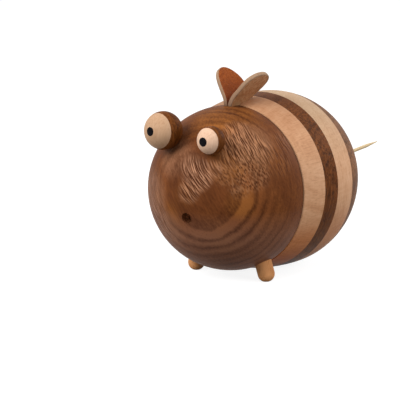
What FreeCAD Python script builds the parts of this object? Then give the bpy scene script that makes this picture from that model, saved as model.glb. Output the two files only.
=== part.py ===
import FreeCAD, Part
import math
import os

import Sketcher

# A toothpick dispenser turned as a wooden bee.
# The bee looks along -Y, its tail is at +Y, its left side is +X and up is +Z.
# The origin lies on the table, under the middle of the belly.

# Driving sizes: millimetres, and degrees where the name says so.
SIZES = {
    # belly: a ball behind, a long flat curve in front
    "belly_radius": 43.0,
    "neck_step": 3.6,
    "front_seam_share": 0.5226,
    "middle_seam_share": 0.1847,
    "rear_seam_share": 0.2,
    "flat_depth": 0.25,
    # head: a ball that closes the chamber
    "head_lead": 4.2,
    "joint_gap": 0.3,
    "joint_ease": 0.6,
    # chamber for the toothpicks, and the way out at the tail
    "chamber_radius": 16.0,
    "tail_wall": 19.0,
    "exit_length": 9.0,
    "exit_play": 0.85,
    "exit_ease": 0.5,
    # spigot on the front ring and socket in the head
    "spigot_wall": 5.0,
    "spigot_length": 12.0,
    "spigot_ease": 0.8,
    "spigot_clearance": 0.08,
    "socket_end_gap": 0.6,
    "recess_margin": 1.0,
    "recess_depth": 1.8,
    # rubber ring that holds the head on
    "seal_thickness": 2.0,
    "seal_clearance": 0.05,
    "seal_setback": 5.0,
    # mouth
    "mouth_radius": 2.6,
    "mouth_drop": 8.4,
    "mouth_side": 2.9,
    "mouth_depth": 7.0,
    # eyes
    "left_eye_radius": 6.5,
    "left_eye_turn_deg": 21.4,
    "left_eye_rise_deg": 38.3,
    "left_eye_flat": 0.3,
    "left_gaze_turn_deg": 0.0,
    "left_gaze_rise_deg": 0.0,
    "left_dowel_radius": 1.5,
    "left_dowel_in_head": 7.0,
    "left_dowel_in_eye": 4.0,
    "right_eye_radius": 9.0,
    "right_eye_turn_deg": 21.8,
    "right_eye_rise_deg": 39.5,
    "right_eye_flat": 0.45,
    "right_gaze_turn_deg": 6.0,
    "right_gaze_rise_deg": 3.0,
    "right_dowel_radius": 2.0,
    "right_dowel_in_head": 8.0,
    "right_dowel_in_eye": 5.5,
    "eye_seat_depth": 0.25,
    "eye_split_share": 0.39,
    "pupil_radius": 2.1,
    "pupil_depth": 2.5,
    "glue_gap": 0.05,
    # feet
    "foot_radius": 4.1,
    "foot_round": 3.9,
    "foot_length": 17.5,
    "foot_trim": 0.25,
    "foot_spread_share": 0.5457,
    "foot_lead": 3.3,
    "foot_splay_deg": 13.0,
    "foot_rake_deg": 8.0,
    # leather wings
    "wing_thickness": 2.0,
    "wing_gap": 0.3,
    "wing_tongue_width": 4.6,
    "wing_tongue_lead": 4.0,
    "wing_slot_depth": 6.0,
    "wing_slot_play": 0.1,
    "wing_shoulder_width": 6.9,
    "wing_shoulder_lead": 4.5,
    "wing_shoulder_rise": 1.2,
    "wing_bend_radius": 6.9,
    "left_wing_lean_deg": 40.7,
    "right_wing_lean_deg": 34.4,
    "wing_sweep_deg": 31.0,
    "wing_length": 21.7,
    "wing_tip_share": 0.4125,
    # toothpicks
    "pick_radius": 0.9,
    "pick_length": 65.0,
    "pick_taper": 9.0,
    "pick_tip_radius": 0.2,
    "pick_inside": 11.5,
    "pick_clearance": 0.1,
    "pick_lean_side_deg": 38.0,
    "pick_spacing": 0.1,
    "pick_end_gap": 1.05,
    # how far a cutter runs past what it cuts
    "overrun": 2.0,
}
STORED_ROWS = 3

# Sizes that follow from others: the body is as long as the toothpicks need, and what sits on
# the head and at the joint keeps its place there.
DERIVED = {
    "neck_radius": "belly_radius - neck_step",
    "head_radius": "belly_radius - neck_step",
    "chamber_reach": "belly_radius - tail_wall",
    "funnel_reach": "belly_radius - exit_length",
    "head_depth": "spigot_length + socket_end_gap + recess_depth",
    "joint_reach": "pick_length + 2 * pick_end_gap - chamber_reach - head_depth",
    "front_ring_reach": "joint_reach * front_seam_share",
    "middle_ring_reach": "joint_reach * middle_seam_share",
    "rear_ring_reach": "belly_radius * rear_seam_share",
    "head_reach": "joint_reach + head_lead",
    "foot_spread": "head_radius * foot_spread_share",
    "foot_reach": "joint_reach + foot_lead",
    "wing_tip_radius": "wing_length * wing_tip_share",
    "tongue_reach": "joint_reach + wing_tongue_lead",
    "shoulder_reach": "joint_reach + wing_shoulder_lead",
}

doc = FreeCAD.newDocument("toothpick_bee")
sheet = doc.addObject("Spreadsheet::Sheet", "Sizes")
for row, (alias, value) in enumerate(SIZES.items(), start=1):
    sheet.set(f"A{row}", str(value))
    sheet.setAlias(f"A{row}", alias)
for row, (alias, formula) in enumerate(DERIVED.items(), start=1):
    sheet.set(f"B{row}", f"={formula}")
    sheet.setAlias(f"B{row}", alias)
doc.recompute()

V = FreeCAD.Vector


def cell(name):
    return f"Sizes.{name}"


def value(expression):
    """Number that an expression over the sheet gives."""
    result = sheet.evalExpression(expression)
    return float(getattr(result, "Value", result))


# Places and sizes that follow from the driving ones, as expressions over the sheet.
AXIS_HEIGHT = "(Sizes.belly_radius - Sizes.flat_depth)"
NECK_STEP = "(Sizes.belly_radius - Sizes.neck_radius)"
FRONT_CURVE = f"((Sizes.joint_reach^2 + {NECK_STEP}^2) / (2 * {NECK_STEP}))"
FRONT_CENTRE = f"(Sizes.belly_radius - {FRONT_CURVE})"
SPIGOT_RADIUS = "(Sizes.chamber_radius + Sizes.spigot_wall)"
SPIGOT_END = "(Sizes.joint_reach + Sizes.spigot_length)"
SOCKET_RADIUS = f"({SPIGOT_RADIUS} + Sizes.spigot_clearance)"
SOCKET_END = f"({SPIGOT_END} + Sizes.socket_end_gap)"
RECESS_RADIUS = "(Sizes.chamber_radius + Sizes.recess_margin)"
RECESS_END = f"({SOCKET_END} + Sizes.recess_depth)"
HEAD_FACE = "(Sizes.joint_reach + Sizes.joint_gap)"
HEAD_EDGE = f"sqrt(Sizes.head_radius^2 - ({HEAD_FACE} - Sizes.head_reach)^2)"
EXIT_RADIUS = "(Sizes.pick_radius + Sizes.exit_play)"
EXIT_MOUTH = f"sqrt(Sizes.belly_radius^2 - {EXIT_RADIUS}^2)"
EXIT_MIDDLE = f"((Sizes.funnel_reach + {EXIT_MOUTH}) / 2)"
EXIT_HALF = f"(({EXIT_MOUTH} - Sizes.funnel_reach) / 2)"
PICK_LEAN = f"atan((Sizes.exit_play - Sizes.pick_clearance) / {EXIT_HALF})"
SEAL_RADIUS = f"({SOCKET_RADIUS} - Sizes.seal_clearance - Sizes.seal_thickness / 2)"
SEAL_REACH = "(Sizes.joint_reach + Sizes.seal_setback)"
GROOVE_FLOOR = f"({SEAL_RADIUS} - Sizes.seal_thickness / 2 - Sizes.seal_clearance)"
GROOVE_HALF = "(Sizes.seal_thickness / 2 + Sizes.seal_clearance)"
SLOT_HALF_WIDTH = "(Sizes.wing_gap / 2 + Sizes.wing_thickness + Sizes.glue_gap)"
SLOT_HALF_LENGTH = "(Sizes.wing_tongue_width / 2 + Sizes.wing_slot_play)"
SLOT_FLOOR = "(Sizes.head_radius - Sizes.wing_slot_depth)"


def front_radius(reach):
    """Outer radius of the belly at a distance in front of its middle."""
    return f"({FRONT_CENTRE} + sqrt({FRONT_CURVE}^2 - {reach}^2))"


def tail_radius(reach):
    """Outer radius of the belly at a distance behind its middle."""
    return f"sqrt(Sizes.belly_radius^2 - {reach}^2)"


def new_body(label):
    body = doc.addObject("PartDesign::Body", label)
    body.Label = label
    return body


def new_sketch(body, name, plane_role, offset=None):
    """Sketch on one of the body's own origin planes, raised by an expression."""
    sketch = body.newObject("Sketcher::SketchObject", name)
    plane = next(o for o in body.Origin.OriginFeatures if o.Role == plane_role)
    sketch.AttachmentSupport = [(plane, "")]
    sketch.MapMode = "FlatFace"
    if offset:
        sketch.setExpression("AttachmentOffset.Base.z", offset)
    return sketch


def bind(sketch, kind, *arguments):
    """Constraint whose last argument is an expression over the sheet."""
    *places, expression = arguments
    index = sketch.addConstraint(Sketcher.Constraint(kind, *places, value(expression)))
    sketch.setExpression(f"Constraints[{index}]", expression)


def pin_point(sketch, geometry, position, corner):
    """Fix one end of a line or arc at its two coordinates."""
    for kind, axis, expression in (("DistanceX", -2, corner[0]), ("DistanceY", -1, corner[1])):
        if expression == "0":
            sketch.addConstraint(Sketcher.Constraint("PointOnObject", geometry, position, axis))
        else:
            bind(sketch, kind, -1, 1, geometry, position, expression)


def arc_between(start, end, centre):
    """Arc under half a circle, and the positions of its start and end in a sketch."""
    first = math.atan2(start.y - centre.y, start.x - centre.x)
    last = math.atan2(end.y - centre.y, end.x - centre.x)
    circle = Part.Circle(centre, V(0, 0, 1), start.distanceToPoint(centre))
    if (last - first) % (2 * math.pi) < math.pi:
        return Part.ArcOfCircle(circle, first, last), 1, 2
    return Part.ArcOfCircle(circle, last, first), 2, 1


def draw_outline(sketch, corners):
    """Closed outline. A corner is (x, y), or (x, y, centre x, centre y, radius) where an arc
    leads to the next corner. All are expressions over the sheet."""
    points = [V(value(corner[0]), value(corner[1]), 0) for corner in corners]
    ends = []
    for index, corner in enumerate(corners):
        start, end = points[index], points[(index + 1) % len(points)]
        if len(corner) == 2:
            shape, first, last = Part.LineSegment(start, end), 1, 2
        else:
            centre = V(value(corner[2]), value(corner[3]), 0)
            shape, first, last = arc_between(start, end, centre)
        ends.append((sketch.addGeometry(shape, False), first, last))
    for index, corner in enumerate(corners):
        geometry, first, last = ends[index]
        following, next_first, _ = ends[(index + 1) % len(ends)]
        sketch.addConstraint(
            Sketcher.Constraint("Coincident", geometry, last, following, next_first))
        pin_point(sketch, geometry, first, corner)
        if len(corner) > 2:
            bind(sketch, "Radius", geometry, corner[4])


def revolve(body, sketch, name, kind="Revolution"):
    """Full turn about the sketch's upright axis."""
    feature = body.newObject(f"PartDesign::{kind}", name)
    feature.Profile = sketch
    feature.ReferenceAxis = (sketch, ["V_Axis"])
    feature.Angle = 360.0
    body.Tip = feature
    doc.recompute()
    return feature


def pad(body, sketch, name, length, midplane=False):
    feature = body.newObject("PartDesign::Pad", name)
    feature.Profile = sketch
    feature.setExpression("Length", length)
    feature.Midplane = midplane
    body.Tip = feature
    doc.recompute()
    return feature


def pocket(body, sketch, name, length, reverse):
    """Cut that must take wood away, or the build stops."""
    before = body.Shape.Volume
    feature = body.newObject("PartDesign::Pocket", name)
    feature.Profile = sketch
    feature.setExpression("Length", length)
    feature.Reversed = reverse
    body.Tip = feature
    doc.recompute()
    if not body.Shape.Volume < before:
        raise RuntimeError(f"{name} cuts nothing")
    return feature


def round_edges(shape, radius, reach):
    """Names of the full circles round the Y axis with this radius, at this place on Y."""
    wanted = []
    for index, edge in enumerate(shape.Edges, start=1):
        if edge.Degenerated or not isinstance(edge.Curve, Part.Circle) or not edge.isClosed():
            continue
        circle = edge.Curve
        if abs(circle.Radius - radius) < 1e-4 and abs(circle.Center.y - reach) < 1e-4:
            wanted.append(f"Edge{index}")
    if not wanted:
        raise RuntimeError("no edge found to ease")
    return wanted


def ease(body, kind, name, size, radius, reach):
    """Fillet or chamfer round the circle of this radius at this place on the axis."""
    base = body.Tip
    feature = body.newObject(f"PartDesign::{kind}", name)
    feature.Base = (base, round_edges(base.Shape, value(radius), value(reach)))
    feature.setExpression("Radius" if kind == "Fillet" else "Size", size)
    body.Tip = feature
    doc.recompute()


def cylinder(name, radius, height, placement):
    tool = doc.addObject("Part::Cylinder", name)
    tool.setExpression("Radius", radius)
    tool.setExpression("Height", height)
    tool.setExpression("Placement", placement)
    return tool


def cut(label, base, tools):
    """The base less all the tools, as a sub-part lifted to its height over the table."""
    joined = doc.addObject("Part::MultiFuse", f"{label}_cutters")
    joined.Shapes = tools
    result = doc.addObject("Part::Cut", label)
    result.Base = base
    result.Tool = joined if len(tools) > 1 else tools[0]
    if len(tools) == 1:
        doc.removeObject(joined.Name)
    return lift(result, label)


def lift(part, label):
    part.Label = label
    part.setExpression("Placement.Base.z", AXIS_HEIGHT)
    return part


def move(x, y, z):
    return f"placement(vector({x}; {y}; {z}); rotation(vector(0; 0; 1); 0))"


def turn(axis, angle):
    return f"placement(vector(0; 0; 0); rotation(vector({axis}); {angle}))"


ABOUT_X = "1; 0; 0"
ABOUT_Y = "0; 1; 0"
ABOUT_Z = "0; 0; 1"


def turned_ring(label, corners):
    """One ring of the glued body, turned about the bee's long axis."""
    body = new_body(label)
    sketch = new_sketch(body, f"{label}_outline", "XY_Plane")
    draw_outline(sketch, corners)
    revolve(body, sketch, f"{label}_turning")
    return body


def front_arc(reach):
    """Corner on the belly's front curve, with the arc that leads on from it."""
    return (front_radius(reach), f"-{reach}", FRONT_CENTRE, "0", FRONT_CURVE)


def make_ring_front():
    """Maple ring whose front end is the spigot that the head is pushed on."""
    seam = cell("front_ring_reach")
    body = turned_ring("ring_front", [
        (cell("chamber_radius"), f"-{seam}"),
        front_arc(seam),
        (cell("neck_radius"), "-Sizes.joint_reach"),
        (SPIGOT_RADIUS, "-Sizes.joint_reach"),
        (SPIGOT_RADIUS, f"-{SPIGOT_END}"),
        (cell("chamber_radius"), f"-{SPIGOT_END}"),
    ])
    groove = new_sketch(body, "seal_groove_outline", "XY_Plane")
    low, high = f"-({SEAL_REACH} + {GROOVE_HALF})", f"-({SEAL_REACH} - {GROOVE_HALF})"
    outside = f"({SPIGOT_RADIUS} + Sizes.overrun)"
    draw_outline(groove, [(GROOVE_FLOOR, low), (outside, low), (outside, high), (GROOVE_FLOOR, high)])
    before = body.Shape.Volume
    revolve(body, groove, "seal_groove", "Groove")
    if not body.Shape.Volume < before:
        raise RuntimeError("the seal groove cuts nothing")
    ease(body, "Chamfer", "spigot_lead", cell("spigot_ease"), SPIGOT_RADIUS, f"-{SPIGOT_END}")
    ease(body, "Fillet", "ring_front_ease", cell("joint_ease"),
         cell("neck_radius"), "-Sizes.joint_reach")
    return lift(body, "ring_front")


def make_ring_middle():
    """Walnut stripe between the two maple rings."""
    front, rear = cell("front_ring_reach"), cell("middle_ring_reach")
    return lift(turned_ring("ring_middle", [
        (cell("chamber_radius"), f"-{front}"),
        (cell("chamber_radius"), f"-{rear}"),
        front_arc(rear),
        (front_radius(front), f"-{front}"),
    ]), "ring_middle")


def make_ring_rear():
    """Maple ring at the belly's widest place, sanded flat where it meets the table."""
    front, rear = cell("middle_ring_reach"), cell("rear_ring_reach")
    body = turned_ring("ring_rear", [
        (cell("chamber_radius"), f"-{front}"),
        (cell("chamber_radius"), rear),
        (tail_radius(rear), rear, "0", "0", cell("belly_radius")),
        (cell("belly_radius"), "0", FRONT_CENTRE, "0", FRONT_CURVE),
        (front_radius(front), f"-{front}"),
    ])
    flat = new_sketch(body, "belly_flat_outline", "XY_Plane", f"-{AXIS_HEIGHT}")
    disc = flat.addGeometry(Part.Circle(V(0, 0, 0), V(0, 0, 1), value(cell("belly_radius"))), False)
    flat.addConstraint(Sketcher.Constraint("Coincident", disc, 3, -1, 1))
    bind(flat, "Radius", disc, cell("belly_radius"))
    pocket(body, flat, "belly_flat", cell("overrun"), False)
    return lift(body, "ring_rear")


def make_tail_cap():
    """Walnut tail: the chamber narrows to a funnel, and the funnel to the exit bore."""
    front = cell("rear_ring_reach")
    body = turned_ring("tail_cap", [
        (cell("chamber_radius"), front),
        (cell("chamber_radius"), cell("chamber_reach")),
        (EXIT_RADIUS, cell("funnel_reach")),
        (EXIT_RADIUS, EXIT_MOUTH, "0", "0", cell("belly_radius")),
        (tail_radius(front), front),
    ])
    ease(body, "Chamfer", "exit_ease", cell("exit_ease"), EXIT_RADIUS, EXIT_MOUTH)
    return lift(body, "tail_cap")


def make_seal_ring():
    ring = doc.addObject("Part::Torus", "seal_ring")
    ring.setExpression("Radius1", SEAL_RADIUS)
    ring.setExpression("Radius2", "Sizes.seal_thickness / 2")
    ring.setExpression("Placement",
                       f"{move('0', f'-{SEAL_REACH}', AXIS_HEIGHT)} * {turn(ABOUT_X, '90')}")
    ring.Label = "seal_ring"
    return ring


def eye_frame(side, sign):
    """Placement at the head's middle whose Z axis runs out through one eye."""
    return (f"{move('0', '-Sizes.head_reach', '0')}"
            f" * {turn(ABOUT_Z, f'{sign} * Sizes.{side}_eye_turn_deg')}"
            f" * {turn(ABOUT_X, f'90 - Sizes.{side}_eye_rise_deg')}")


def seat_plane():
    """Distance of an eye's flat seat from the head's middle."""
    return "(Sizes.head_radius - Sizes.eye_seat_depth)"


def eye_placement(side, sign, height="0"):
    """Placement at one eye's middle whose Z axis runs along its gaze."""
    far = f"({seat_plane()} + Sizes.{side}_eye_radius - Sizes.{side}_eye_flat)"
    level = f"({far} * cos(Sizes.{side}_eye_rise_deg * 1deg))"
    x = f"{sign} * {level} * sin(Sizes.{side}_eye_turn_deg * 1deg)"
    y = f"-Sizes.head_reach - {level} * cos(Sizes.{side}_eye_turn_deg * 1deg)"
    z = f"{height} + {far} * sin(Sizes.{side}_eye_rise_deg * 1deg)"
    return (f"{move(x, y, z)} * {turn(ABOUT_Z, f'{sign} * Sizes.{side}_gaze_turn_deg')}"
            f" * {turn(ABOUT_X, f'90 - Sizes.{side}_gaze_rise_deg')}")


def turned_eye_piece(label, corners, placement):
    body = new_body(label)
    sketch = new_sketch(body, f"{label}_outline", "XZ_Plane")
    draw_outline(sketch, corners)
    revolve(body, sketch, f"{label}_turning")
    body.setExpression("Placement", placement)
    return body


def make_eye(side, sign):
    """Ball of walnut behind and maple in front, with a black pupil let in, on a dowel."""
    radius = f"Sizes.{side}_eye_radius"
    split = f"({radius} * Sizes.eye_split_share)"
    split_radius = f"sqrt({radius}^2 - {split}^2)"
    pupil_rim = f"sqrt({radius}^2 - Sizes.pupil_radius^2)"
    pupil_floor = f"({radius} - Sizes.pupil_depth)"
    ball = ("0", "0", radius)
    lifted = eye_placement(side, sign, AXIS_HEIGHT)

    back = turned_eye_piece(f"eye_back_{side}_ball", [
        ("0", f"-{radius}", *ball), (split_radius, split), ("0", split),
    ], eye_placement(side, sign))
    seat = cylinder(f"eye_seat_plane_{side}", radius, radius,
                    f"{eye_frame(side, sign)} * {move('0', '0', f'{seat_plane()} - {radius}')}")
    bore = cylinder(f"eye_dowel_bore_{side}", f"Sizes.{side}_dowel_radius + Sizes.glue_gap",
                    f"Sizes.{side}_dowel_in_eye + Sizes.glue_gap + Sizes.overrun",
                    f"{eye_frame(side, sign)} * {move('0', '0', f'{seat_plane()} - Sizes.overrun')}")
    eye_back = cut(f"eye_back_{side}", back, [seat, bore])

    front = turned_eye_piece(f"eye_front_{side}", [
        ("0", split),
        (split_radius, split, *ball),
        ("Sizes.pupil_radius", pupil_rim),
        ("Sizes.pupil_radius", pupil_floor),
        ("0", pupil_floor),
    ], lifted)
    pupil = turned_eye_piece(f"pupil_{side}", [
        ("0", pupil_floor), ("Sizes.pupil_radius", pupil_floor),
        ("Sizes.pupil_radius", pupil_rim, *ball), ("0", radius),
    ], lifted)
    in_head = f"Sizes.{side}_dowel_in_head"
    dowel = cylinder(f"eye_dowel_{side}", f"Sizes.{side}_dowel_radius",
                     f"{in_head} + Sizes.{side}_dowel_in_eye",
                     f"{move('0', '0', AXIS_HEIGHT)} * {eye_frame(side, sign)}"
                     f" * {move('0', '0', f'{seat_plane()} - {in_head}')}")
    dowel.Label = f"eye_dowel_{side}"
    return [eye_back, front, pupil, dowel]


def eye_cutters(side, sign):
    """What one eye needs cut from the head: a flat seat and a bore for its dowel."""
    flat_radius = f"sqrt(2 * Sizes.{side}_eye_radius * Sizes.{side}_eye_flat)"
    depth = f"(Sizes.{side}_dowel_in_head + Sizes.glue_gap)"
    seat = cylinder(f"eye_seat_{side}", f"{flat_radius} + Sizes.glue_gap * 10",
                    "Sizes.eye_seat_depth + Sizes.overrun",
                    f"{eye_frame(side, sign)} * {move('0', '0', seat_plane())}")
    bore = cylinder(f"head_dowel_bore_{side}", f"Sizes.{side}_dowel_radius + Sizes.glue_gap",
                    f"{depth} + Sizes.overrun",
                    f"{eye_frame(side, sign)} * {move('0', '0', f'{seat_plane()} - {depth}')}")
    return [seat, bore]


def foot_frame(sign):
    """Placement on the table under a foot whose Z axis runs up the leaning peg."""
    return (f"{move(f'{sign} * Sizes.foot_spread', '-Sizes.foot_reach', f'-{AXIS_HEIGHT}')}"
            f" * {turn(ABOUT_Y, f'-{sign} * Sizes.foot_splay_deg')}"
            f" * {turn(ABOUT_X, 'Sizes.foot_rake_deg')}")


def make_foot(side, sign):
    """Peg with a rounded end that is sanded flat at the table."""
    body = new_body(f"foot_{side}_peg")
    sketch = new_sketch(body, f"foot_{side}_outline", "XZ_Plane")
    inner = "(Sizes.foot_radius - Sizes.foot_round)"
    bottom = "-Sizes.foot_trim"
    draw_outline(sketch, [
        ("0", bottom),
        (inner, bottom, inner, "Sizes.foot_round - Sizes.foot_trim", "Sizes.foot_round"),
        ("Sizes.foot_radius", "Sizes.foot_round - Sizes.foot_trim"),
        ("Sizes.foot_radius", "Sizes.foot_length"),
        ("0", "Sizes.foot_length"),
    ])
    revolve(body, sketch, f"foot_{side}_turning")
    body.setExpression("Placement", foot_frame(sign))
    table = cylinder(f"table_{side}", "Sizes.foot_length", "Sizes.foot_length",
                     move(f"{sign} * Sizes.foot_spread", "-Sizes.foot_reach",
                          f"-{AXIS_HEIGHT} - Sizes.foot_length"))
    return cut(f"foot_{side}", body, [table])


def make_head():
    """Walnut ball: socket for the spigot, mouth, wing slot, eye seats and foot sockets."""
    body = new_body("head_turning")
    sketch = new_sketch(body, "head_outline", "XY_Plane")
    draw_outline(sketch, [
        (SOCKET_RADIUS, f"-{HEAD_FACE}"),
        (HEAD_EDGE, f"-{HEAD_FACE}", "0", "-Sizes.head_reach", cell("head_radius")),
        ("0", "-(Sizes.head_reach + Sizes.head_radius)"),
        ("0", f"-{RECESS_END}"),
        (RECESS_RADIUS, f"-{RECESS_END}"),
        (RECESS_RADIUS, f"-{SOCKET_END}"),
        (SOCKET_RADIUS, f"-{SOCKET_END}"),
    ])
    revolve(body, sketch, "head_ball_turning")
    ease(body, "Fillet", "head_edge_ease", cell("joint_ease"), HEAD_EDGE, f"-{HEAD_FACE}")

    mouth_floor = "Sizes.head_reach + Sizes.head_radius - Sizes.mouth_depth"
    mouth = new_sketch(body, "mouth_outline", "XZ_Plane", mouth_floor)
    place = V(value(cell("mouth_side")), -value(cell("mouth_drop")), 0)
    disc = mouth.addGeometry(Part.Circle(place, V(0, 0, 1), value(cell("mouth_radius"))), False)
    bind(mouth, "DistanceX", -1, 1, disc, 3, cell("mouth_side"))
    bind(mouth, "DistanceY", -1, 1, disc, 3, "-Sizes.mouth_drop")
    bind(mouth, "Radius", disc, cell("mouth_radius"))
    pocket(body, mouth, "mouth", "Sizes.mouth_depth + Sizes.overrun", True)

    slot = new_sketch(body, "wing_slot_outline", "XY_Plane", SLOT_FLOOR)
    front = f"-(Sizes.tongue_reach + {SLOT_HALF_LENGTH})"
    rear = f"-(Sizes.tongue_reach - {SLOT_HALF_LENGTH})"
    wide = SLOT_HALF_WIDTH
    draw_outline(slot, [(f"-{wide}", front), (wide, front), (wide, rear), (f"-{wide}", rear)])
    pocket(body, slot, "wing_slot", "Sizes.wing_slot_depth + Sizes.overrun", True)

    tools = eye_cutters("left", "1") + eye_cutters("right", "-1")
    for side, sign in (("left", "1"), ("right", "-1")):
        tools.append(cylinder(f"foot_socket_{side}", "Sizes.foot_radius + Sizes.glue_gap",
                              "Sizes.foot_length + Sizes.glue_gap", foot_frame(sign)))
    return cut("head_ball", body, tools)


WING_MIDDLE = "(Sizes.wing_bend_radius + Sizes.wing_thickness / 2)"


def wing_blank(side):
    """Strip of leather, upright in its slot and then bent outwards, longer than the wing."""
    body = new_body(f"wing_blank_{side}")
    sketch = new_sketch(body, f"wing_blank_outline_{side}", "XZ_Plane")
    inner = "(Sizes.wing_gap / 2)"
    outer = "(Sizes.wing_gap / 2 + Sizes.wing_thickness)"
    mouth = "Sizes.head_radius"
    tight = "Sizes.wing_bend_radius"
    wide = "(Sizes.wing_bend_radius + Sizes.wing_thickness)"
    centre = f"({outer} + {tight})"
    lean = f"(Sizes.{side}_wing_lean_deg * 1deg)"
    run = "(Sizes.wing_length + Sizes.overrun)"
    outer_x, outer_z = f"({centre} - {tight} * cos({lean}))", f"({mouth} + {tight} * sin({lean}))"
    inner_x, inner_z = f"({centre} - {wide} * cos({lean}))", f"({mouth} + {wide} * sin({lean}))"
    draw_outline(sketch, [
        (inner, SLOT_FLOOR),
        (outer, SLOT_FLOOR),
        (outer, mouth, centre, mouth, tight),
        (outer_x, outer_z),
        (f"{outer_x} + {run} * sin({lean})", f"{outer_z} + {run} * cos({lean})"),
        (f"{inner_x} + {run} * sin({lean})", f"{inner_z} + {run} * cos({lean})"),
        (inner_x, inner_z, centre, mouth, wide),
        (inner, mouth),
    ])
    pad(body, sketch, f"wing_blank_pad_{side}", "4 * Sizes.wing_length", midplane=True)
    body.setExpression("Placement.Base.y", "-Sizes.tongue_reach")
    return body


def wing_pattern(side):
    """Leaf that the strip is cut to: a round blade, straight flanks down to two shoulders that
    stand just over the head, and a tongue between them. It is square to the leaning leather."""
    body = new_body(f"wing_pattern_{side}")
    sketch = new_sketch(body, f"wing_pattern_outline_{side}", "XY_Plane")
    lean = f"(Sizes.{side}_wing_lean_deg * 1deg)"
    sweep = "(Sizes.wing_sweep_deg * 1deg)"
    bend_length = f"({WING_MIDDLE} * Sizes.{side}_wing_lean_deg * pi / 180)"
    mouth = f"(-{WING_MIDDLE} * sin({lean}))"
    shoulder = f"({mouth} + Sizes.wing_shoulder_rise * cos({lean}))"
    below = f"({mouth} - Sizes.wing_slot_depth - Sizes.overrun)"
    stem = "(Sizes.wing_length - Sizes.wing_tip_radius)"
    centre_up = f"({stem} * cos({sweep}) - {bend_length})"
    centre_back = f"({stem} * sin({sweep}))"
    wide, narrow = "(Sizes.wing_shoulder_width / 2)", "(Sizes.wing_tongue_width / 2)"
    shift = "(Sizes.shoulder_reach - Sizes.tongue_reach)"

    radius = value(cell("wing_tip_radius"))
    tip = V(value(centre_up), value(centre_back), 0)
    corners = [V(value(shoulder), way * value(wide), 0) for way in (-1, 1)]
    touches = []
    for corner, way in zip(corners, (-1, 1)):
        reach = tip.distanceToPoint(corner)
        heading = math.atan2(tip.y - corner.y, tip.x - corner.x) + way * math.asin(radius / reach)
        run = math.sqrt(reach ** 2 - radius ** 2)
        touches.append(corner + V(math.cos(heading), math.sin(heading), 0) * run)
    start, end = (math.atan2(point.y - tip.y, point.x - tip.x) for point in touches)
    circle = Part.Circle(tip, V(0, 0, 1), radius)
    arc = sketch.addGeometry(Part.ArcOfCircle(circle, start, end), False)
    bind(sketch, "DistanceX", -1, 1, arc, 3, centre_up)
    bind(sketch, "DistanceY", -1, 1, arc, 3, centre_back)
    bind(sketch, "Radius", arc, cell("wing_tip_radius"))

    tongue_ends = []
    for corner, touch, sign, arc_end in zip(corners, touches, ("-", ""), (1, 2)):
        root = f"({shift} {sign or '+'} {narrow})"
        stops = [(shoulder, f"{sign}{wide}"), (shoulder, root), (below, root)]
        flank = sketch.addGeometry(Part.LineSegment(corner, touch), False)
        sketch.addConstraint(Sketcher.Constraint("Tangent", flank, 2, arc, arc_end))
        pin_point(sketch, flank, 1, stops[0])
        last = flank
        for first, second in zip(stops, stops[1:]):
            ends = [V(value(stop[0]), value(stop[1]), 0) for stop in (first, second)]
            line = sketch.addGeometry(Part.LineSegment(*ends), False)
            sketch.addConstraint(
                Sketcher.Constraint("Coincident", line, 1, last, 1 if last == flank else 2))
            pin_point(sketch, line, 2, second)
            last = line
        tongue_ends.append(last)
    ends = [sketch.getPoint(line, 2) for line in tongue_ends]
    bottom = sketch.addGeometry(Part.LineSegment(*ends), False)
    for line, position in zip(tongue_ends, (1, 2)):
        sketch.addConstraint(Sketcher.Constraint("Coincident", bottom, position, line, 2))
    pad(body, sketch, f"wing_pattern_pad_{side}", "2 * Sizes.wing_length", midplane=True)

    # The pattern's X runs up the leaning leather and its Y runs back along the bee.
    x = (f"(Sizes.wing_gap / 2 + Sizes.wing_thickness + Sizes.wing_bend_radius"
         f" - {WING_MIDDLE} * cos({lean}))")
    z = f"(Sizes.head_radius + {WING_MIDDLE} * sin({lean}))"
    body.setExpression("Placement", f"{move(x, '-Sizes.shoulder_reach', z)}"
                                    f" * {turn(ABOUT_Y, f'Sizes.{side}_wing_lean_deg - 90')}")
    return body


def make_wings():
    cuts = []
    for side, label in (("left", "wing_left"), ("right", "wing_right_unmirrored")):
        wing = doc.addObject("Part::Common", label)
        wing.Base = wing_blank(side)
        wing.Tool = wing_pattern(side)
        cuts.append(lift(wing, label))
    doc.recompute()
    right = doc.addObject("Part::Mirroring", "wing_right")
    right.Source = cuts[1]
    right.Normal = V(1, 0, 0)
    right.Label = "wing_right"
    return [cuts[0], right]


def pick_outline(sketch):
    """Half of a toothpick's outline: a straight middle and a point at both ends."""
    tip, radius = cell("pick_tip_radius"), cell("pick_radius")
    draw_outline(sketch, [
        ("0", "0"), (tip, "0"), (radius, cell("pick_taper")),
        (radius, "Sizes.pick_length - Sizes.pick_taper"),
        (tip, cell("pick_length")), ("0", cell("pick_length")),
    ])


def make_toothpick():
    """Toothpick that leans in the exit bore, part of the way out."""
    body = new_body("toothpick")
    sketch = new_sketch(body, "toothpick_outline", "XZ_Plane")
    pick_outline(sketch)
    revolve(body, sketch, "toothpick_turning")
    body.setExpression("Placement",
                       f"{move('0', EXIT_MIDDLE, AXIS_HEIGHT)}"
                       f" * {turn(ABOUT_Y, 'Sizes.pick_lean_side_deg')}"
                       f" * {turn(ABOUT_X, f'{PICK_LEAN} - 90deg')}"
                       f" * {move('0', '0', '-Sizes.pick_inside')}")
    return body


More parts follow.
